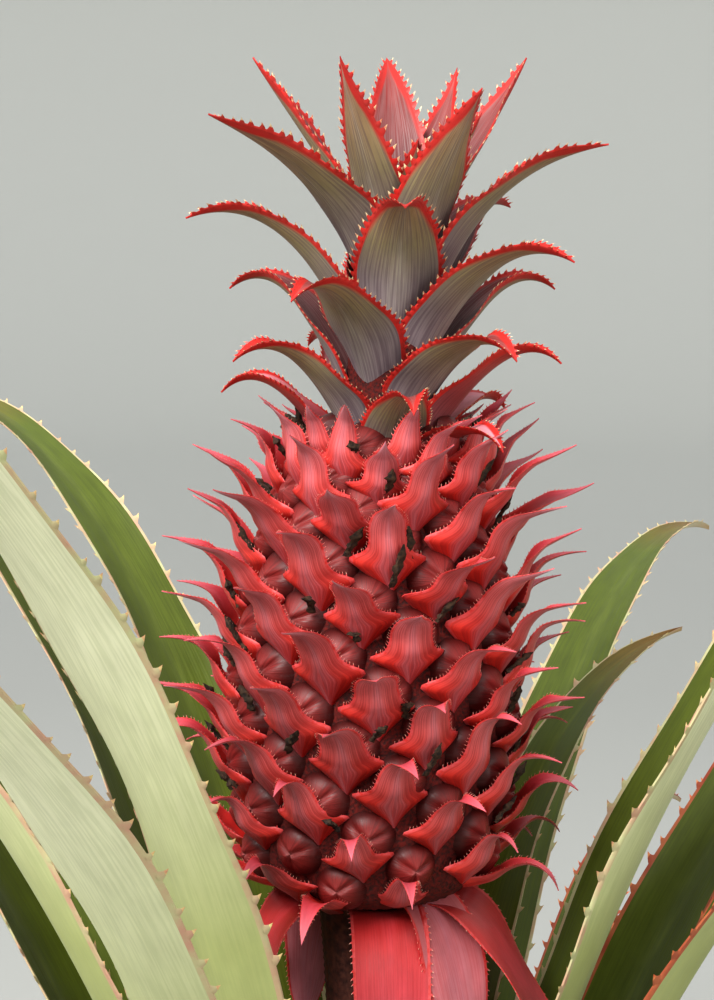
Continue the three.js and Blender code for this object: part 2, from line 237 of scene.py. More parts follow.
def add_blade(skin, leaf, rows, columns):
    """A thin closed blade: outer side, inner side and a band along each margin."""
    line = Line(leaf)
    s = np.linspace(0, BLADE_END, rows)
    even = np.linspace(-1, 1, columns)
    x = 0.5 * even + 0.5 * np.sin(even * math.pi / 2)
    middle, normal = blade_surface(leaf, line, s, x)
    thick = leaf["thick"](s)[:, None] * (1 - MARGIN_THINNING * np.abs(x) ** 3) / 2
    offset = normal[:, None] * thick[..., None]
    ring = np.concatenate([middle - offset, (middle + offset)[:, ::-1]], 1)
    blade = np.stack(np.broadcast_arrays((x + 1) / 2, s[:, None]), -1)
    grain = np.stack(np.broadcast_arrays(x * leaf["half"](s).max(), (s * line.length)[:, None]), -1)
    maps = [np.concatenate([uv, uv[:, ::-1]], 1).reshape(-1, 2) for uv in (blade, grain)]
    around = 2 * columns
    column = np.tile(np.arange(around), rows - 1)
    slots = np.where(column < columns, OUTER, INNER)
    slots[(column % columns < 1) | (column % columns >= columns - 2)] = MARGIN
    near = np.arange(columns - 1)
    cap = np.stack([near, near + 1, around - 2 - near, around - 1 - near], -1)
    faces = np.concatenate([grid_faces(rows, around, True), cap[:, ::-1], cap + (rows - 1) * around])
    slots = np.concatenate([slots, np.full(2 * len(cap), MARGIN)])
    skin.add(ring.reshape(-1, 3), faces, slots, *maps, leaf["tint"])
    return line


# A tooth has three rings of four points, at these shares of its height, and a peak
TOOTH_RINGS = (0, 0.35, 0.6)
TOOTH_POINTS = 4 * len(TOOTH_RINGS) + 1
TOOTH_TAPER = 1.1  # exponent by which its base narrows
TOOTH_SUNK = 0.15  # share of its height that lies inside the margin
TOOTH_SHIFT = 0.22  # how far it may stand from its even place, as a share of the pitch
TOOTH_SPREAD = 0.2  # how far its size may differ
TOOTH_GRAIN = 5.0  # its place across the grain
EDGE_STEPS = 120


def tooth_faces():
    top = 4 * (len(TOOTH_RINGS) - 1)
    peak = [[top + c, top + (c + 1) % 4, TOOTH_POINTS - 1, -1] for c in range(4)]
    return np.concatenate([grid_faces(len(TOOTH_RINGS), 4, True), peak])


def add_teeth(skin, leaf, line, teeth):
    """Curved teeth along both margins; hook is how far they lean to the tip, as a share of their height."""
    fine = np.linspace(teeth["start"], teeth["stop"], EDGE_STEPS)
    for sign in (-1, 1):
        edge = blade_surface(leaf, line, fine, np.array([float(sign)]))[0][:, 0]
        run = np.concatenate([[0], np.cumsum(np.linalg.norm(np.diff(edge, axis=0), axis=1))])
        k = np.arange(int(run[-1] / teeth["pitch"]))
        jitter = np.array([scatter(7 * j + sign, 90 * leaf["tint"]) for j in k])
        place = run[-1] * (k + 0.5 + TOOTH_SHIFT * jitter) / len(k)
        s = np.interp(place, run, fine)
        root = np.stack([np.interp(place, run, edge[:, axis]) for axis in range(3)], -1)
        along = unit(np.stack([np.interp(place, run, np.gradient(edge[:, axis])) for axis in range(3)], -1))
        out = root - blade_surface(leaf, line, s, np.array([0.9 * sign]))[0][:, 0]
        out = unit(out - along * (out * along).sum(1, keepdims=True))
        over = np.cross(out, along)
        size = teeth["height"] * (1 + TOOTH_SPREAD * jitter) * profile(teeth["sizes"], s)
        root = root - out * (TOOTH_SUNK * size)[:, None]
        rings = []
        for u in TOOTH_RINGS:
            spot = root + out * (size * u)[:, None] + along * (size * teeth["hook"] * u * u)[:, None]
            wide = along * (teeth["base"] / teeth["height"] * size / 2 * (1 - u) ** TOOTH_TAPER)[:, None]
            deep = over * (teeth["thick"] * (1 - u) / 2)
            rings.append(np.stack([spot + wide, spot + deep, spot - wide, spot - deep], 1))
        peak = root + out * size[:, None] + along * (size * teeth["hook"])[:, None]
        points = np.concatenate([*rings, peak[:, None]], 1).reshape(-1, 3)
        shape = tooth_faces()[None]
        faces = np.where(shape < 0, -1, shape + TOOTH_POINTS * k[:, None, None]).reshape(-1, 4)
        slots = np.tile([MARGIN] * 8 + [TOOTH_TIP] * 4, len(k))
        blade = np.repeat(np.stack([np.full(len(k), (sign + 1) / 2), s], -1), TOOTH_POINTS, 0)
        grain = np.stack([np.full(len(k), TOOTH_GRAIN * sign), s * line.length], -1)
        grain = np.repeat(grain, TOOTH_POINTS, 0)
        skin.add(points, faces, slots, blade, grain, leaf["tint"])


def add_turned(skin, outline, segments, relief):
    """A turned surface round the plant's axis from (radius, height) points; relief adds to its radius."""
    radii, heights = (np.array(part, float)[:, None] for part in zip(*outline))
    turn = np.linspace(0, 2 * math.pi, segments, endpoint=False)[None]
    tall = (heights - heights.min()) / np.ptp(heights)
    blade = np.stack(np.broadcast_arrays(turn / (2 * math.pi), tall), -1)
    grain = np.stack(np.broadcast_arrays(turn * radii.max(), heights), -1)
    radii = radii + relief(turn, heights) * (radii > 1)
    lean = profile(AXIS_SHIFTS, heights)
    points = np.stack(np.broadcast_arrays(lean + radii * np.sin(turn), -radii * np.cos(turn), heights), -1)
    faces = grid_faces(len(outline), segments, True)
    skin.add(points.reshape(-1, 3), faces, 0, blade.reshape(-1, 2), grain.reshape(-1, 2), 0.5)


# Fruit
def core_radius(h):
    return 54 - 14 * ((h - FRUIT_MIDDLE) / 84) ** 2


def fruitlet_height(k):
    return 1.51 * k - 0.016 * max(0, k - 81) ** 2


def fruitlet_size(k):
    return profile([(0, 0.9), (0.12, 1), (0.75, 1), (1, 0.72)], k / (FRUITLETS - 1))


# Half widths of a fruit bract: a V with wings under the eye, a tongue in front of it and a narrow tip
WINGS = [(0, 0.8), (0.06, 3.8), (0.12, 7.8), (0.18, 11.6), (0.225, 13.8), (0.25, 13), (0.29, 10)]
SLIM_TONGUE = [(0.35, 7.9), (0.45, 6.5), (0.56, 5.2), (0.7, 3.4), (0.85, 1.8), (1, 0)]
BROAD_TONGUE = [(0.35, 8), (0.45, 7), (0.58, 6.7), (0.65, 5.8), (0.74, 3.6), (0.86, 1.6), (1, 0)]
SLIM_BELOW = 0.2  # the lowest and the highest fruitlets have slim tongues
SLIM_ABOVE = 0.86
# How far the bract stands out from its centre line, to make room for the eye behind it
BRACT_BELLY = [(0, 0), (0.1, 1.6), (0.24, 3.6), (0.38, 4.4), (0.54, 2), (0.7, 0), (1, 0)]
# How far its margins turn in towards the core
BRACT_LIFT = [(0, 0.3), (0.08, 3), (0.16, 5.4), (0.23, 6.4), (0.31, 4.4), (0.48, 2.8), (0.7, 1.2), (1, 0)]
# Barren bracts round the fruit's base: how many, where they start on its underside, how steeply they rise
BASE_BRACTS = 8
BASE_FOOT = (32, FRUIT_FOOT - 5)
BASE_RISE = 35
# How far a fruit bract climbs and the slope of its tip, from the lowest fruitlet (0) to the highest (1)
BRACT_CLIMBS = [(0, 8), (0.1, 22), (0.2, 30), (0.7, 33), (0.85, 30), (1, 20)]
BRACT_FALLS = [(0, -60), (0.1, -22), (0.25, 2), (0.5, 14), (0.7, 26), (0.85, 38)]


def fruit_bract(k):
    """Bract k, or one of the barren bracts round the fruit's base where k is less than 0."""
    t = k / (FRUITLETS - 1)
    h = fruitlet_height(k)
    r = core_radius(h)
    size = fruitlet_size(k)
    reach = size * (28 + 5 * scatter(k, 1)) * profile([(0.72, 1), (0.8, 0.62), (1, 0.45)], t)
    drop = profile([(0, 5), (0.08, 0)], t)
    foot, rise = (r - 5, FRUIT_FOOT + h - drop), profile([(0, 60), (0.15, 74), (1, 82)], t)
    if k < 0:
        foot, rise = BASE_FOOT, BASE_RISE
    tongue = BROAD_TONGUE if SLIM_BELOW < t < SLIM_ABOVE else SLIM_TONGUE
    breadth = 1 + 0.12 * scatter(k, 31)
    return {
        "azimuth": spiral_azimuth(FIRST_FRUITLET - k),
        "foot": foot,
        "tip": (r + reach, FRUIT_FOOT + h + profile(BRACT_CLIMBS, t) + 4 * scatter(k, 2)),
        "rise": rise,
        "fall": profile(BRACT_FALLS, t) + 14 * scatter(k, 3),
        "hold": (0.55, 0.4),
        "sway": -2 + 5 * scatter(k, 4),
        "twist": 18 * scatter(k, 5),
        "half": smooth(WINGS + [(s, half * breadth) for s, half in tongue], size),
        "skew": size * (-1.5 + 2 * scatter(k, 32)),
        "lift": smooth(BRACT_LIFT, size),
        "belly": smooth(BRACT_BELLY, size),
        "thick": smooth([(0, 1.6), (0.25, 1.1), (1, 0.5)], size),
        "round": 2,
        "wave": 0.9,
        "waves": 2.5,
        "tint": tint_of(k, 11),
    }


FRUIT_TEETH = {
    "pitch": 1.6, "height": 1.5, "base": 0.6, "thick": 0.3, "hook": 0.35, "start": 0.26, "stop": 0.97,
    "sizes": [(0, 0.8), (0.3, 1), (0.7, 0.9), (1, 0.4)],
}


def make_fruit_bracts(looks):
    for k in range(-BASE_BRACTS, FRUITLETS):
        skin, leaf = Skin(), fruit_bract(k)
        line = add_blade(skin, leaf, 34, 15)
        add_teeth(skin, leaf, line, FRUIT_TEETH)
        name = f"fruit_bract_{k + 1:03d}" if k >= 0 else f"base_bract_{-k}"
        skin.piece(name, looks["fruit_bract"], ["fruit"], "fruit")


# Eyes, in millimetres of a full-grown fruitlet: how far above and to the right of the bract's foot, half
# width, half height, dome, low peak, and depth in the core
EYE_RISE = 17
EYE_SHIFT = 1.5
EYE_WIDTH = 10.6
EYE_HEIGHT = 10.4
EYE_DOME = 6.8
EYE_PEAK = 1.4
EYE_SUNK = 5.5
EYE_CREASES = (-90, 30, 150)  # directions of the creases between its three sepals
CREASE_SHIFT = 12  # degrees by which they may be turned
CREASE_DEPTH = 2.2
CREASE_WIDTH = 1.3
EYE_GRAIN = 12  # spread of the grain over the eye
EYE_RINGS = 11
EYE_POINTS = 36
EYE_GROUPS = 16
EYES_BELOW = 109  # the fruitlets from this one up have none


def eye_points(k):
    """A domed eye above the foot of bract k, of three sepals that meet in a low peak."""
    size = fruitlet_size(k)
    h = fruitlet_height(k) + EYE_RISE * size
    share = np.linspace(0.001, 1, EYE_RINGS)[:, None]
    turn = np.linspace(0, 2 * math.pi, EYE_POINTS, endpoint=False)[None]
    crease = np.zeros_like(share * turn)
    for angle in EYE_CREASES:
        middle = math.radians(angle + CREASE_SHIFT * scatter(k, 15))
        apart = np.abs((turn - middle + math.pi) % (2 * math.pi) - math.pi)
        groove = np.exp(-((apart * share * EYE_GRAIN / CREASE_WIDTH) ** 2)) * (apart < 1.2)
        crease = np.maximum(crease, groove)
    dome = EYE_DOME * (1 - share**2.4) ** 0.6 + EYE_PEAK * np.exp(-((share / 0.25) ** 2))
    dome = dome - CREASE_DEPTH * crease * (1 - share) ** 0.3
    sideways = size * (EYE_SHIFT + EYE_WIDTH * share * np.cos(turn))
    upwards = size * EYE_HEIGHT * share * np.sin(turn)
    radius = core_radius(h + upwards) - EYE_SUNK + size * dome
    azimuth = np.radians(spiral_azimuth(FIRST_FRUITLET - k)) + sideways / radius
    z = FRUIT_FOOT + h + upwards
    points = (profile(AXIS_SHIFTS, z) + radius * np.sin(azimuth), -radius * np.cos(azimuth), z)
    maps = (turn / (2 * math.pi), share), (turn * 9, share * EYE_GRAIN)
    return [np.stack(np.broadcast_arrays(*parts), -1).reshape(-1, len(parts)) for parts in (points, *maps)]


def make_eyes(looks):
    for group, eyes in enumerate(np.array_split(np.arange(-BASE_BRACTS, EYES_BELOW), EYE_GROUPS)):
        skin = Skin()
        for k in eyes:
            points, blade, grain = eye_points(k)
            faces = grid_faces(EYE_RINGS, EYE_POINTS, True)[:, ::-1]
            skin.add(points, faces, 0, blade, grain, tint_of(k, 12))
        skin.piece(f"fruit_eyes_{group + 1:02d}", looks["eye"], ["fruit"], "fruit", sharp=80)


GROOVE_DEPTH = 5  # from the solid's core down to the floor of the grooves between the eyes


def groove_relief(turn, z):
    return 0.7 * np.sin(turn * 47 + z) * np.sin(z * 1.7)


def make_fruit_core(looks):
    skin = Skin()
    foot, head = FRUIT_FOOT - 10, FRUIT_FOOT + FRUIT_BODY
    wall = [(core_radius(h) - GROOVE_DEPTH, FRUIT_FOOT + h) for h in np.linspace(2, FRUIT_BODY - 10, 60)]
    base = [(0.01, foot), (STALK_RADIUS + 3, foot), (37, FRUIT_FOOT - 4)]
    outline = [*base, *wall, (19, head), (0.01, head)]
    add_turned(skin, outline, 120, groove_relief)
    skin.piece("fruit_core", looks["groove"], ["fruit"], "fruit")


FLOWER_BRACTS = (4, 103)  # from and up to
FLOWER_FROM = -0.5  # a bract has a dried flower where its scatter lies above this
FLOWER_RADIUS = 1.5
FLOWER_ROWS = 12
FLOWER_SIDES = 7


def add_dried_flower(skin, k):
    """A withered flower between the eye and the bract above it: a twisted lumpy wisp beside the tongue."""
    size = fruitlet_size(k)
    h = fruitlet_height(k) + (22 + 2 * scatter(k, 25)) * size
    hand = math.copysign(1, scatter(k, 24) + 0.35)
    azimuth = spiral_azimuth(FIRST_FRUITLET - k) + math.degrees(hand * 9.5 * size / core_radius(h))
    out, side, up = outward(azimuth), outward(azimuth + 90), np.array([0, 0, 1.0])
    length = 12 + 3 * scatter(k, 23)
    heading = unit(out * 0.45 + side * hand * 0.25 + up * (0.7 + 0.3 * scatter(k, 27)))
    u = np.linspace(0, 1, FLOWER_ROWS)[:, None]
    bend = 5 * u**2 * (side * scatter(k, 26) + up * scatter(k, 28))
    spine = axis_at(FRUIT_FOOT + h) + out * (core_radius(h) + 0.5) + heading * length * u + bend
    turn = np.linspace(0, 2 * math.pi, FLOWER_SIDES, endpoint=False)[None] + 2.4 * u
    lumps = 1 + 0.4 * np.sin(3 * turn + 9 * u + k) + 0.3 * np.sin(17 * u + k)
    radius = FLOWER_RADIUS * profile([(0, 0.8), (0.4, 0.9), (0.75, 1.25), (1, 0.2)], u) * lumps
    first = unit(np.cross(heading, up))
    second = np.cross(heading, first)
    ring = (radius * np.cos(turn))[..., None] * first + (0.6 * radius * np.sin(turn))[..., None] * second
    points = (spine[:, None] + ring).reshape(-1, 3)
    grain = np.stack(np.broadcast_arrays(turn, u * length), -1).reshape(-1, 2)
    skin.add(points, grid_faces(FLOWER_ROWS, FLOWER_SIDES, True), 0, grain, grain, tint_of(k, 13))


def make_dried_flowers(looks):
    skin = Skin()
    for k in range(*FLOWER_BRACTS):
        if scatter(k, 21) > FLOWER_FROM:
            add_dried_flower(skin, k)
    skin.piece("dried_flowers", looks["dried_flower"], ["fruit"], "fruit")


# Crown: its leaves that stand off the smooth rule, as in the part's source
CROWN_ODD = {
    -2: (0, 62, 32),
    0: (16, 60, 28),
    1: (0, 58, 40),
    2: (0, 62, 34),
    3: (0, 64, 32),
    5: (12, 70, 26),
    6: (0, 68, 43),
    7: (0, 63, 39),
    8: (-3, 68, 34),
    10: (0, 72, 39),
    11: (0, 77, 50),
    12: (0, 70, 50),
    13: (-3, 62, 46),
    14: (0, 34, 45),
    15: (-2, 74, 62),
    16: (0, 86, 67),
    17: (12, 54, 90),
    18: (-3, 48, 70),
    19: (6, 54, 82),
    20: (0, 54, 82),
    21: (-12, 46, 76),
    25: (0, 48, 72),
}
CROWN_FEET = [(-4, 145), (0, 149), (5, 169), (8, 181), (13, 200), (18, 216), (28, 231)]
CROWN_GROUPS = [("crown_upper_leaves", 17), ("crown_middle_leaves", 7), ("crown_lower_leaves", -3)]
RED_CROWN_LEAVES = (-3, -2, -1, 1, 2)


def crown_foot(m):
    return FRUIT_FOOT + profile(CROWN_FEET, m)


def crown_stem_radius(m):
    return profile([(-4, 15), (4, 17), (13, 16), (20, 12), (28, 8)], m)


def crown_leaf(m):
    reach = profile([(-4, 58), (3, 60), (8, 66), (13, 72), (18, 56), (21, 46), (24, 22), (28, 18)], m)
    climb = profile([(-4, 14), (0, 24), (8, 34), (13, 46), (16, 60), (21, 76), (24, 46), (28, 38)], m)
    turn, own_reach, own_climb = CROWN_ODD.get(m, (0, reach, climb))
    width = profile([(-4, 11), (3, 13), (13, 15.5), (18, 14.5), (22, 10), (28, 8)], m)
    falls = [(-4, -50), (3, -40), (8, -36), (13, -12), (16, 20), (18, 52), (21, 66), (28, 70)]
    foot = crown_foot(m)
    return {
        "azimuth": spiral_azimuth(FIRST_CROWN_LEAF - m) + turn,
        "foot": (crown_stem_radius(m) - 3, foot),
        "tip": (own_reach, foot + own_climb),
        "rise": profile([(-4, 56), (3, 62), (8, 68), (13, 72), (18, 78), (28, 82)], m),
        "fall": profile(falls, m),
        "hold": (0.4, 0.4),
        "sway": 0,
        "twist": 0,
        "half": smooth([(0, 0.7), (0.3, 1), (0.54, 0.8), (0.72, 0.52), (0.88, 0.24), (1, 0)], width),
        "lift": smooth([(0, 0.6), (0.25, 0.5), (0.5, 0.28), (0.8, 0.2), (1, 0)], width),
        "belly": none,
        "thick": smooth([(0, 2.6), (0.5, 1.9), (1, 0.7)]),
        "round": 1.7,
        "wave": 0.8,
        "waves": 2.5,
        "tint": tint_of(m, 14),
    }


def crown_teeth(m):
    """Fine teeth on the lowest leaves, coarse hooked ones further up."""
    coarse = profile([(-3, 0), (6, 0.35), (14, 1)], m)
    return {
        "pitch": mixed(2.1, 3.8, coarse), "height": mixed(1.9, 3.5, coarse), "base": mixed(1.7, 3.8, coarse),
        "thick": 0.9, "hook": 0.5, "start": 0.1, "stop": 0.975,
        "sizes": [(0, 0.6), (0.25, 0.9), (0.6, 1), (1, 0.6)],
    }


def crown_node(m):
    return next(name for name, start in CROWN_GROUPS if m >= start)


def flat_relief(turn, z):
    return 0 * turn * z


def make_crown(looks):
    for m in range(*CROWN_LEAVES):
        skin, leaf = Skin(), crown_leaf(m)
        line = add_blade(skin, leaf, 54, 17)
        add_teeth(skin, leaf, line, crown_teeth(m))
        look = looks["crown_red" if m in RED_CROWN_LEAVES else "crown"]
        skin.piece(f"crown_leaf_{m - CROWN_LEAVES[0] + 1:02d}", look, [crown_node(m)], "crown")
    core = Skin()
    wall = [(crown_stem_radius(m), crown_foot(m) - 4) for m in np.linspace(*CROWN_LEAVES, 20)]
    add_turned(core, [(0.01, wall[0][1]), *wall, (0.01, wall[-1][1])], 40, flat_relief)
    core.piece("crown_stem", looks["groove"], [name for name, _ in CROWN_GROUPS], "crown")


# Stalk and stem, with the hanging bracts under the fruit as in the part's source
STRAPS = [
    (-4, 19, 56, 74, -84),
    (0, 20, 52, 66, -84),
    (0, 20, 56, 74, -84),
    (0, 22, 86, 58, -58),
    (0, 22, 50, 62, -84),
    (0, 64, 50, 56, -84),
    (0, 27, 52, 62, -84),
    (0, 74, 48, 50, -84),
    (6, 16, 54, 76, -84),
]


def stalk_bract(m):
    turn, below, reach, drop, fall = STRAPS[m]
    height = FRUIT_FOOT - below
    return {
        "azimuth": spiral_azimuth(FIRST_FRUITLET + 1 + m) + turn,
        "foot": (STALK_RADIUS - 3, height),
        "tip": (reach, height - drop),
        "rise": 50,
        "fall": fall,
        "hold": (0.42, 0.72),
        "sway": 6 * scatter(m, 7),
        "twist": 8 * scatter(m, 8),
        "half": smooth([(0, 10), (0.14, 13), (0.6, 12.5), (0.86, 6), (1, 0)]),
        "lift": smooth([(0, 5), (0.3, 2), (1, 0)]),
        "belly": none,
        "thick": smooth([(0, 2.2), (0.6, 1.5), (1, 0.6)]),
        "round": 2,
        "wave": 1.2,
        "waves": 2.2,
        "tint": tint_of(m, 16),
    }


STRAP_TEETH = {
    "pitch": 2.6, "height": 1.5, "base": 1.3, "thick": 0.5, "hook": 0.5, "start": 0.08, "stop": 0.97,
    "sizes": [(0, 0.7), (0.4, 1), (1, 0.6)],
}


TURNED_STRAP = 8  # it shows its underside


def make_stalk_bracts(looks):
    for m in range(len(STRAPS)):
        skin, leaf = Skin(), stalk_bract(m)
        look = looks["turned_strap" if m == TURNED_STRAP else "strap"]
        line = add_blade(skin, leaf, 60, 17)
        add_teeth(skin, leaf, line, STRAP_TEETH)
        skin.piece(f"hanging_bract_{m + 1}", look, [f"stalk_bract_{m + 1}"], "bract")


# Radii of the stem and of the stalk at their heights
STEM_RADII = [(0, 39), (14, 33), (60, 34), (110, 33), (160, 29), (200, 24), (STEM_TOP, 20)]
STALK_FOOT = STEM_TOP + 0.3
STALK_HEAD = FRUIT_FOOT - 10.3
STALK_RADII = [(STALK_FOOT, 17), (290, 14.5), (380, 15), (420, 17), (STALK_HEAD, 19)]


def stalk_relief(turn, z):
    return 0.25 * np.sin(z * 2.1 + 1.5 * np.sin(turn * 3)) + 0.2 * np.sin(turn * 23)


def stem_relief(turn, z):
    """Rings of leaf scars and lengthwise fibres, none at the flat cut."""
    return (0.9 * np.abs(np.sin(z * 0.33 + turn * 2)) ** 6 + 0.4 * np.sin(turn * 31)) * (z > 1)


def make_pillar(name, radii, rows, segments, relief, look, node):
    skin = Skin()
    foot, head = radii[0][0], radii[-1][0]
    wall = [(profile(radii, z), z) for z in np.linspace(foot, head, rows)]
    add_turned(skin, [(0.01, foot), *wall, (0.01, head)], segments, relief)
    skin.piece(name, look, [node], "stem")


# Rosette
OPEN_AZIMUTH = 5
OPEN_WIDTH = 20
OPEN_TOPS = (390, 300)
BACK_WIDTH = 50
BACK_TOPS = (480, 330)
LEAF_HALF_WIDTH = 20
LEAF_FOOT_RADIUS = 18
LEAVES_TURNED = {2: 6, 4: 25, 6: 2, 14: -9}
LEAVES_ODD = {0: (360, 612, -8, 84)}
LEAF_REACHES = [
    (0, 180), (0.065, 200), (0.097, 260), (0.13, 300), (0.2, 400), (0.5, 560), (0.8, 640), (1, 560),
]
LEAF_TOPS = [(0, 540), (0.065, 560), (0.097, 570), (0.13, 770), (0.5, 720), (0.8, 520), (1, 250)]
LEAF_RISES = [(0, 75), (0.13, 76), (0.2, 79), (0.5, 74), (1, 50)]
LEAF_FALLS = [(0, 40), (0.097, 20), (0.13, 46), (0.2, 20), (0.5, 8), (0.8, -20), (1, -20)]
RED_EDGED_FROM = 12  # the leaves on the right from this one on have red margins


def nearness(azimuth, place, width):
    """How near an azimuth is to a place: 1 there, less than 0.4 at this width from it."""
    return math.exp(-((wrapped(azimuth - place) / width) ** 2))


def rosette_leaf(i):
    t = i / (LEAVES - 1)
    azimuth = wrapped(FIRST_LEAF_AZIMUTH + GOLDEN * i + LEAVES_TURNED.get(i, 0))
    opened = nearness(azimuth, OPEN_AZIMUTH, OPEN_WIDTH)
    back = nearness(azimuth, 180, BACK_WIDTH)
    height = profile([(0, 212), (0.5, 112), (1, 18)], t)
    reach = profile(LEAF_REACHES, t) * (1 + 0.2 * opened * (1 - t))
    top = mixed(mixed(profile(LEAF_TOPS, t), mixed(*OPEN_TOPS, t), opened), mixed(*BACK_TOPS, t), back)
    fall = mixed(mixed(profile(LEAF_FALLS, t), -10, opened), -25, back)
    rise = profile(LEAF_RISES, t) - 24 * opened
    own_reach, own_top, own_fall, own_rise = LEAVES_ODD.get(i, (reach, top, fall, rise))
    width = LEAF_HALF_WIDTH * profile([(0, 0.88), (0.032, 0.68), (0.12, 0.85), (0.2, 1), (1, 0.95)], t)
    return {
        "azimuth": azimuth,
        "foot": (LEAF_FOOT_RADIUS, height),
        "tip": (own_reach, own_top),
        "rise": own_rise,
        "fall": own_fall,
        "hold": (0.4, 0.4),
        "sway": 40 * scatter(i, 9),
        "twist": 14 * scatter(i, 10),
        "half": smooth([(0, 0.62), (0.12, 0.85), (0.3, 1), (0.6, 0.86), (0.8, 0.56), (1, 0)], width),
        "lift": smooth([(0, 0.55), (0.3, 0.42), (1, 0.1)], width),
        "belly": none,
        "thick": smooth([(0, 5), (0.3, 3), (0.8, 2), (1, 1)]),
        "round": 1.6,
        "wave": 1.5,
        "waves": 6,
        "tint": tint_of(i, 17),
    }


LEAF_TEETH = {
    "pitch": 13.5, "height": 3.8, "base": 5.5, "thick": 1.2, "hook": 0.6, "start": 0.06, "stop": 0.97,
    "sizes": [(0, 0.7), (0.3, 1), (0.8, 0.8), (1, 0.5)],
}


def make_rosette(looks):
    names = list(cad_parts)
    for i in range(LEAVES):
        skin, leaf = Skin(), rosette_leaf(i)
        line = add_blade(skin, leaf, 90, 17)
        add_teeth(skin, leaf, line, LEAF_TEETH)
        node = f"leaf_{i + 1:02d}"
        replaced = [name for name in names if name == node or name.startswith(node + "_")]
        red_edged = i >= RED_EDGED_FROM and leaf["azimuth"] > 0
        look = looks["leaf_red_edged" if red_edged else "leaf"]
        skin.piece(f"rosette_leaf_{i + 1:02d}", look, replaced, "leaf")


# Materials
def colour(red, green, blue):
    """An opaque linear colour from screen values of 0 to 255."""
    screen = [value / 255 for value in (red, green, blue)]
    return [*(v / 12.92 if v <= 0.04045 else ((v + 0.055) / 1.055) ** 2.4 for v in screen), 1]


RED = colour(214, 44, 36)
CRIMSON = colour(200, 52, 56)
# Painted highlight along the inner keel of the fruit bracts
ROSE_HIGHLIGHT = colour(218, 88, 104)
DEEP_RED = colour(150, 26, 28)
# Painted highlight along the outer keel of the fruit bracts: a satin sheen, partly their real frosty scurf
MAUVE_HIGHLIGHT = colour(222, 140, 152)
PALE_PINK = colour(240, 168, 182)
CREAM = colour(238, 224, 176)


SPECULAR = 0.3  # of every material, so that the pale studio doesn't wash the colours out
RIM_SHARPNESS = 7  # how fast the colour changes at the edge of a coloured margin
DARKEST_TINT = 0.84  # how dark the darkest leaf or bract is beside the lightest


class Graph:
    """A material's nodes, with short forms for the ones used here."""

    def __init__(self, name):
        self.material = bpy.data.materials.new(name)
        self.material.use_nodes = True
        self.tree = self.material.node_tree
        self.shader = self.tree.nodes["Principled BSDF"]
        self.shader.inputs["Specular IOR Level"].default_value = SPECULAR

    def add(self, kind, inputs, **settings):
        node = self.tree.nodes.new("ShaderNode" + kind)
        for key, value in settings.items():
            setattr(node, key, value)
        for key, value in inputs.items():
            if isinstance(value, bpy.types.NodeSocket):
                self.tree.links.new(value, node.inputs[key])
            else:
                node.inputs[key].default_value = value
        return node

    def math(self, operation, a, b):
        return self.add("Math", {0: a, 1: b}, operation=operation).outputs[0]

    def mix(self, share, a, b, blend="MIX"):
        return self.add("Mix", {0: share, 6: a, 7: b}, data_type="RGBA", blend_type=blend).outputs[2]

    def ramp(self, place, stops):
        node = self.add("ValToRGB", {0: place})
        elements = node.color_ramp.elements
        while len(elements) < len(stops):
            elements.new(0.5)
        for element, (at, value) in zip(elements, stops):
            element.position = at
            element.color = value if isinstance(value, list) else [value, value, value, 1]
        return node.outputs[0]

    def noise(self, vector, scales, detail):
        stretched = self.add("VectorMath", {0: vector, 1: scales}, operation="MULTIPLY").outputs[0]
        return self.add("TexNoise", {"Vector": stretched, "Scale": 1.0, "Detail": detail}).outputs[0]

    def uv(self, name):
        return self.add("UVMap", {}, uv_map=name).outputs[0]

    def finish(self, base, roughness, height, depth):
        links = self.tree.links
        links.new(base, self.shader.inputs["Base Color"])
        links.new(roughness, self.shader.inputs["Roughness"])
        bump = self.add("Bump", {"Height": height, "Strength": 1.0, "Distance": depth * MM})
        links.new(bump.outputs[0], self.shader.inputs["Normal"])
        return self.material


def blade_look(name, along, lines, pitch, share, rough, relief, keel_highlight=None, edge=None, calm=0.72):
    """Skin of a blade: colours along it, lengthwise lines, mottling, a painted highlight along its keel, and
    margins of their own.
    """
    graph = Graph(name)
    blade, grain = graph.uv("blade"), graph.uv("grain")
    across, length, _ = graph.add("SeparateXYZ", {0: blade}).outputs
    away = graph.math("ABSOLUTE", graph.math("SUBTRACT", across, 0.5), 0)
    base = graph.ramp(length, along)
    # Painted highlight: a paler, patchy band along the keel, where the blade's crest catches the light
    if keel_highlight:
        highlight_colour, highlight_width, highlight_share = keel_highlight
        ridge_highlight = graph.ramp(away, [(0, highlight_share), (highlight_width, 0)])
        patchy_highlight = graph.ramp(graph.noise(grain, (0.3, 0.05, 0), 2), [(0.35, 0.2), (0.65, 1)])
        base = graph.mix(graph.math("MULTIPLY", ridge_highlight, patchy_highlight), base, highlight_colour)
    fine = graph.noise(grain, (1 / pitch, 0.03, 0), 3)
    stripe = graph.ramp(fine, [(0.42, share), (0.58, 0)])
    base = graph.mix(stripe, base, lines)
    if edge:
        edge_colour, widths = edge
        depth = graph.math("ADD", graph.math("MULTIPLY", away, 2), graph.ramp(length, widths))
        inside = graph.math("SUBTRACT", depth, 1)
        rim = graph.ramp(graph.math("MULTIPLY", inside, RIM_SHARPNESS), [(0, 0), (1, 1)])
        base = graph.mix(rim, base, edge_colour)
    shade = graph.ramp(graph.noise(grain, (0.12, 0.06, 0), 4), [(0.3, calm), (0.7, 1)])
    base = graph.mix(1, base, shade, "MULTIPLY")
    tint = graph.add("Attribute", {}, attribute_name="tint").outputs["Fac"]
    base = graph.mix(1, base, graph.ramp(tint, [(0, DARKEST_TINT), (1, 1)]), "MULTIPLY")
    roughness = graph.ramp(fine, [(0.3, rough[0]), (0.7, rough[1])])
    return graph.finish(base, roughness, fine, relief)


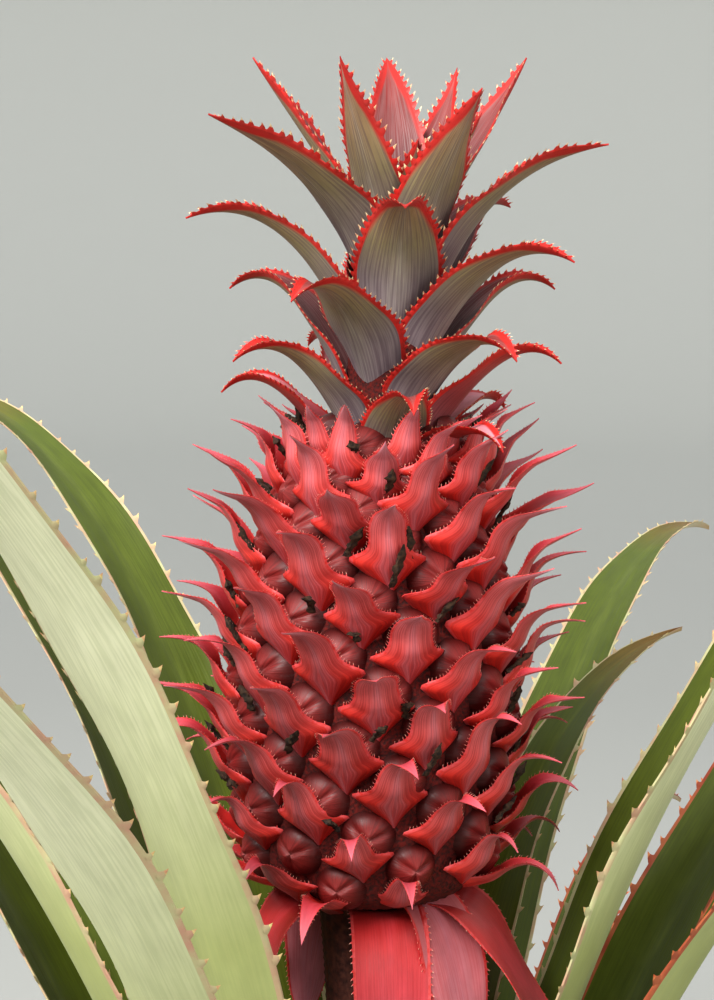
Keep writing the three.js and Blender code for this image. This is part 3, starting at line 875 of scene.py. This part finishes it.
def mottled_look(name, first, second, scale, rough, relief):
    """A surface mottled between two colours: margins, spines, the painted shade in the grooves, stalk and
    stem.
    """
    graph = Graph(name)
    at = graph.add("TexCoord", {}).outputs["Object"]
    cloud = graph.noise(at, [1 / (scale * MM)] * 3, 5)
    base = graph.mix(graph.ramp(cloud, [(0.35, 0), (0.65, 1)]), first, second)
    roughness = graph.ramp(cloud, [(0.3, rough[0]), (0.7, rough[1])])
    return graph.finish(base, roughness, cloud, relief)


def fruit_looks():
    outer = [(0, colour(204, 24, 14)), (0.24, colour(220, 52, 42)), (0.42, colour(228, 88, 86)),
             (0.64, colour(232, 112, 116)), (0.95, PALE_PINK)]
    inner = [(0, colour(222, 28, 14)), (0.45, colour(214, 46, 42)), (0.7, colour(208, 66, 78)),
             (1, colour(226, 116, 132))]
    # Eye colours from its peak to its rim: the pale peak is a painted highlight, the near-black rim painted
    # shade where the eye sinks between its neighbours
    eye = [(0, colour(190, 104, 102)), (0.2, colour(160, 52, 50)), (0.55, colour(144, 36, 34)),
           (0.8, colour(96, 18, 16)), (1, colour(44, 6, 4))]
    strap = [(0, colour(170, 30, 24)), (0.3, colour(200, 44, 46)), (0.6, colour(200, 72, 84)),
             (0.9, colour(208, 84, 98)), (1, PALE_PINK)]
    strap_underside = [(0, colour(196, 90, 94)), (0.5, colour(226, 128, 136)), (1, colour(236, 146, 160))]
    # The fruit bracts' keel colours are painted highlights, the outer one partly their real frosty scurf
    bract_outer = blade_look("bract_outer", outer, DEEP_RED, 0.7, 0.5, (0.32, 0.52), 0.12,
                             (MAUVE_HIGHLIGHT, 0.24, 0.85))
    bract_inner = blade_look("bract_inner", inner, CRIMSON, 0.35, 0.3, (0.35, 0.55), 0.05,
                             (ROSE_HIGHLIGHT, 0.2, 0.35))
    # The straps' paler keels are a painted sheen highlight
    strap_above = blade_look("strap_above", strap, DEEP_RED, 0.5, 0.3, (0.28, 0.45), 0.06,
                             (colour(232, 104, 122), 0.3, 0.15))
    strap_below = blade_look("strap_below", strap_underside, CRIMSON, 0.5, 0.3, (0.35, 0.55), 0.06,
                             (colour(200, 140, 160), 0.3, 0.4))
    margin = mottled_look("bract_margin", colour(196, 44, 40), colour(210, 76, 78), 2, (0.35, 0.5), 0.05)
    tooth = mottled_look("bract_tooth", colour(226, 120, 112), colour(240, 186, 160), 1, (0.4, 0.6), 0.02)
    eye_skin = blade_look("fruit_eye", eye, colour(78, 12, 12), 0.5, 0.6, (0.35, 0.6), 0.12)
    # Painted shade: the fruit's core, seen only in the gaps between eyes and bracts, and the crown's stem are
    # near-black red, standing in for the shade there
    groove = mottled_look("fruit_gap_shade", colour(40, 4, 3), colour(104, 20, 14), 1.2, (0.7, 0.95), 0.5)
    dried = mottled_look("dried_flower", colour(20, 13, 10), colour(66, 46, 30), 1.5, (0.7, 0.95), 0.4)
    return {
        "fruit_bract": [bract_outer, bract_inner, margin, tooth],
        "strap": [strap_below, strap_above, margin, tooth],
        "turned_strap": [strap_above, strap_below, margin, tooth],
        "eye": [eye_skin],
        "groove": [groove],
        "dried_flower": [dried],
    }


# How wide the red margin of a crown leaf is along it, as a share of its half width
CROWN_EDGE = [(0, 0.05), (0.5, 0.12), (0.75, 0.36), (1, 1.1)]


def crown_looks():
    outer = [(0, colour(166, 148, 158)), (0.28, colour(150, 136, 134)), (0.5, colour(152, 138, 100)),
             (0.8, colour(172, 134, 94)), (1, colour(190, 60, 46))]
    inner = [(0, colour(92, 54, 56)), (0.5, colour(108, 54, 56)), (0.85, colour(150, 44, 40)), (1, RED)]
    red_outer = [(0, colour(166, 116, 124)), (0.3, colour(164, 84, 86)), (0.6, colour(190, 60, 54)),
                 (0.9, RED)]
    red_inner = [(0, CRIMSON), (0.5, colour(210, 88, 100)), (1, PALE_PINK)]
    streak = colour(84, 62, 76)
    silver = colour(150, 118, 116)
    edge = (colour(196, 36, 30), CROWN_EDGE)
    outside = blade_look("crown_outer", outer, streak, 0.6, 0.5, (0.45, 0.7), 0.1,
                         (colour(192, 186, 166), 0.2, 0.55), edge)
    inside = blade_look("crown_inner", inner, silver, 0.6, 0.4, (0.45, 0.7), 0.1, edge=edge)
    red_outside = blade_look("crown_red_outer", red_outer, colour(110, 48, 52), 0.5, 0.5, (0.4, 0.6), 0.1,
                             (colour(205, 150, 150), 0.15, 0.4), edge)
    red_inside = blade_look("crown_red_inner", red_inner, silver, 0.6, 0.35, (0.4, 0.6), 0.08, edge=edge)
    margin = mottled_look("crown_margin", colour(196, 36, 30), colour(170, 40, 34), 3, (0.35, 0.55), 0.1)
    tooth = mottled_look("crown_tooth", CREAM, colour(196, 92, 62), 1.2, (0.4, 0.6), 0.05)
    return {
        "crown": [outside, inside, margin, tooth],
        "crown_red": [red_outside, red_inside, margin, tooth],
    }


def leaf_looks():
    outer = [(0, colour(172, 180, 114)), (0.4, colour(180, 187, 120)), (0.58, colour(238, 239, 202)),
             (0.85, colour(238, 238, 206)), (1, colour(190, 150, 100))]
    inner = [(0, colour(104, 116, 50)), (0.3, colour(78, 90, 16)), (0.8, colour(84, 98, 20)),
             (1, colour(150, 100, 50))]
    outside = blade_look("leaf_outer", outer, colour(150, 164, 104), 0.8, 0.22, (0.4, 0.65), 0.1, calm=0.9)
    inside = blade_look("leaf_inner", inner, colour(54, 66, 10), 0.8, 0.35, (0.35, 0.6), 0.1,
                        (colour(116, 128, 52), 0.16, 0.3), calm=0.82)
    margin = mottled_look("leaf_margin", colour(190, 190, 140), colour(196, 150, 124), 12, (0.45, 0.6), 0.1)
    tooth = mottled_look("leaf_tooth", colour(232, 214, 140), colour(205, 140, 110), 2, (0.4, 0.6), 0.05)
    red_margin = mottled_look("leaf_red_margin", colour(150, 60, 40), colour(176, 96, 60), 12,
                              (0.45, 0.6), 0.1)
    red_tooth = mottled_look("leaf_red_tooth", colour(212, 84, 44), colour(228, 150, 90), 2, (0.4, 0.6), 0.05)
    return {
        "leaf": [outside, inside, margin, tooth],
        "leaf_red_edged": [outside, inside, red_margin, red_tooth],
    }


def stem_looks():
    stalk = mottled_look("stalk_skin", colour(66, 42, 38), colour(112, 66, 54), 3, (0.6, 0.85), 0.4)
    stem = mottled_look("stem_bark", colour(84, 64, 46), colour(150, 124, 92), 5, (0.75, 0.95), 0.8)
    return {"stalk": [stalk], "stem": [stem]}


# Studio: the camera in millimetres and degrees, the backdrop in metres
CAMERA_AT = (0, -707.8, 702.1)
CAMERA_PITCH = 8.55
CAMERA_PAN = 0.36
CAMERA_LENS = 70
FLOOR_RADIUS = 5
FLOOR_GAP = 0.0005  # between the floor and the plant's flat cut
SWEEP_RADIUS = 2
WALL_TOP = 5
BACKDROP_SEGMENTS = 64
# Painted shade: the floor round the plant is darker where the key light falls strongest
SHADED_PAPER_FLOOR = colour(172, 173, 169)
PAPER_WALL = colour(210, 211, 206)


def make_camera():
    data = bpy.data.cameras.new("camera")
    data.lens = CAMERA_LENS
    data.sensor_width = 36
    data.clip_start = 0.01
    camera = bpy.data.objects.new("camera", data)
    camera.location = [value * MM for value in CAMERA_AT]
    camera.rotation_euler = (math.radians(90 - CAMERA_PITCH), 0, math.radians(CAMERA_PAN))
    bpy.context.scene.collection.objects.link(camera)
    bpy.context.scene.camera = camera


def make_light(name, at, aim, size, power, tone):
    data = bpy.data.lights.new(name, "AREA")
    data.energy = power
    data.size = size
    data.color = tone
    light = bpy.data.objects.new(name, data)
    light.location = at
    x, y, z = np.subtract(aim, at)
    light.rotation_euler = (math.atan2(math.hypot(x, y), -z), 0, math.atan2(-x, y))
    bpy.context.scene.collection.objects.link(light)


def paper_look():
    """Plain paper with painted shade: a little darker on the floor round the plant, where the key light falls
    strongest, than on the wall.
    """
    graph = Graph("paper")
    at = graph.add("TexCoord", {}).outputs["Object"]
    away = graph.add("VectorMath", {0: at}, operation="LENGTH").outputs["Value"]
    place = graph.math("DIVIDE", away, FLOOR_RADIUS + SWEEP_RADIUS)
    base = graph.ramp(place, [(0.3, SHADED_PAPER_FLOOR), (1, PAPER_WALL)])
    cloud = graph.noise(at, [3, 3, 3], 5)
    return graph.finish(base, graph.ramp(cloud, [(0.3, 0.8), (0.7, 0.9)]), cloud, 0)


def make_backdrop():
    """A round pale floor that sweeps up into a wall on all sides."""
    angles = np.linspace(0, math.pi / 2, 12)
    bend = [(FLOOR_RADIUS + SWEEP_RADIUS * math.sin(a), SWEEP_RADIUS * (1 - math.cos(a))) for a in angles]
    outline = [(0.001, 0), (1, 0), (3, 0), *bend, (FLOOR_RADIUS + SWEEP_RADIUS, WALL_TOP)]
    radii, heights = (np.array(part)[:, None] for part in zip(*outline))
    turn = np.linspace(0, 2 * math.pi, BACKDROP_SEGMENTS, endpoint=False)[None]
    parts = np.broadcast_arrays(radii * np.sin(turn), -radii * np.cos(turn), heights - FLOOR_GAP)
    points = np.stack(parts, -1).reshape(-1, 3)
    faces = grid_faces(len(outline), BACKDROP_SEGMENTS, True)
    mesh = bpy.data.meshes.new("backdrop")
    mesh.from_pydata(points.tolist(), [], faces.tolist())
    mesh.polygons.foreach_set("use_smooth", [True] * len(mesh.polygons))
    mesh.materials.append(paper_look())
    floor = bpy.data.objects.new("backdrop", mesh)
    bpy.context.scene.collection.objects.link(floor)


def make_lights():
    make_light("key", (-1.1, -1.5, 2.3), (0, 0, 0.5), 1.2, 130, (1, 0.98, 0.95))
    make_light("fill", (1.4, -1.6, 1.2), (0, 0, 0.5), 1, 16, (1, 1, 0.98))
    world = bpy.data.worlds.new("studio")
    world.use_nodes = True
    background = world.node_tree.nodes["Background"]
    background.inputs["Color"].default_value = (0.96, 0.98, 1, 1)
    background.inputs["Strength"].default_value = 1
    bpy.context.scene.world = world
    bpy.context.scene.view_settings.view_transform = "Standard"


def main():
    looks = {**fruit_looks(), **crown_looks(), **leaf_looks(), **stem_looks()}
    make_camera()
    make_backdrop()
    make_lights()
    make_rosette(looks)
    make_pillar("trunk", STEM_RADII, 120, 110, stem_relief, looks["stem"], "stem")
    make_pillar("flower_stalk", STALK_RADII, 150, 80, stalk_relief, looks["stalk"], "stalk")
    make_stalk_bracts(looks)
    make_fruit_core(looks)
    make_eyes(looks)
    make_dried_flowers(looks)
    make_fruit_bracts(looks)
    make_crown(looks)


main()
